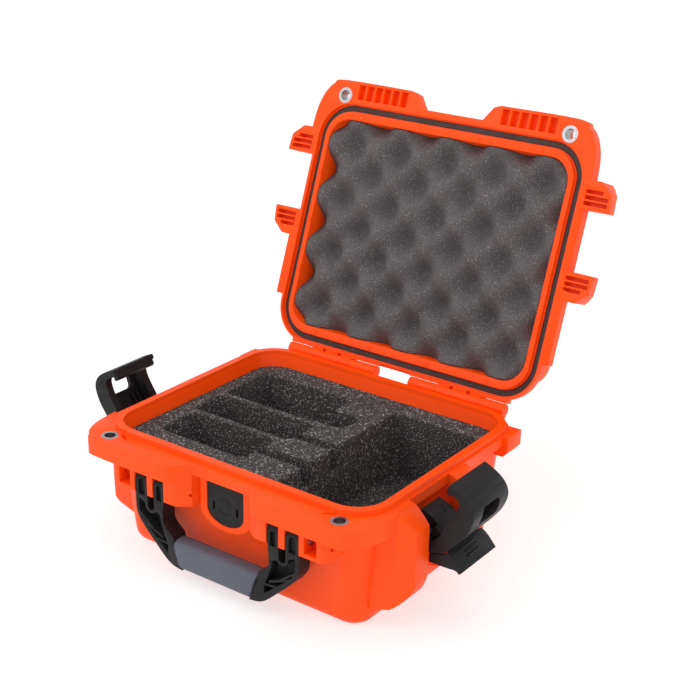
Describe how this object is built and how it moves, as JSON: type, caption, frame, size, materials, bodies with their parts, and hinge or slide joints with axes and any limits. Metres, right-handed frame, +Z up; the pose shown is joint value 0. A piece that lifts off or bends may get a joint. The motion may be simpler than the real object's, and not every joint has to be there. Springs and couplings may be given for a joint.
{
  "type": "drone carrying case",
  "caption": "Hard carrying case for a small drone kit: moulded base and hinged lid with rim seal, cut foam, claw latches, folding handle and pressure valve.",
  "frame": {"origin": "middle of the base's flat bottom, on the floor", "axes": "+X to the right along the front edge, +Y from the handle to the hinge, +Z up"},
  "size_m": [0.3582, 0.3489, 0.3207],
  "materials": {
    "orange_plastic": "fine moulded grain",
    "black_plastic": "fine moulded grain",
    "soft_grip": "soft overmoulded rubber",
    "steel": "satin",
    "foam": "open-cell foam",
    "seal_rubber": "matt"
  },
  "bodies": {
    "base": {"base_shell": "orange_plastic", "base_foam_pad": "foam", "base_foam_insert": "foam", "hinge_pin_left": "steel", "hinge_pin_right": "steel", "handle_pins": "steel", "lever_pin_left": "steel", "lever_pin_right": "steel", "base_eyelet_left": "steel", "base_eyelet_right": "steel", "valve_body": "black_plastic", "valve_gasket": "seal_rubber", "valve_nut": "black_plastic", "valve_cover": "black_plastic"},
    "lid": {"lid_shell": "orange_plastic", "lid_seal": "seal_rubber", "lid_foam": "foam", "lid_eyelet_left": "steel", "lid_eyelet_right": "steel"},
    "handle": {"handle_frame": "black_plastic", "handle_grip": "soft_grip"},
    "latch_left_lever": {"latch_lever_left": "black_plastic", "claw_pin_left": "steel"},
    "latch_left_claw": {"latch_claw_left": "black_plastic"},
    "latch_right_lever": {"latch_lever_right": "black_plastic", "claw_pin_right": "steel"},
    "latch_right_claw": {"latch_claw_right": "black_plastic"}
  },
  "joints": [
    {"name": "lid_hinge", "type": "hinge", "parent": "base", "child": "lid", "pos_m": [0, 0.1118, 0.0999], "axis": [1, 0, 0], "range_deg": [0, 109.8]},
    {"name": "handle_hinge", "type": "hinge", "parent": "base", "child": "handle", "pos_m": [0, -0.10825, 0.0726], "axis": [-1, 0, 0], "range_deg": [0, 92]},
    {"name": "latch_left_lever_hinge", "type": "hinge", "parent": "base", "child": "latch_left_lever", "pos_m": [-0.1315, 0, 0.071], "axis": [0, -1, 0], "range_deg": [0, 62]},
    {"name": "latch_left_claw_hinge", "type": "hinge", "parent": "latch_left_lever", "child": "latch_left_claw", "pos_m": [-0.13887, 0, 0.06584], "axis": [0, -1, 0], "range_deg": [-89.01, 0]},
    {"name": "latch_right_lever_hinge", "type": "hinge", "parent": "base", "child": "latch_right_lever", "pos_m": [0.1315, 0, 0.071], "axis": [0, 1, 0], "range_deg": [0, 62]},
    {"name": "latch_right_claw_hinge", "type": "hinge", "parent": "latch_right_lever", "child": "latch_right_claw", "pos_m": [0.13887, 0, 0.06584], "axis": [0, 1, 0], "range_deg": [-89.01, 0]}
  ],
  "couplings": [
    {"joint": "latch_left_claw_hinge", "follows": "latch_left_lever_hinge", "ratio": -1.4355},
    {"joint": "latch_right_claw_hinge", "follows": "latch_right_lever_hinge", "ratio": -1.4355}
  ]
}
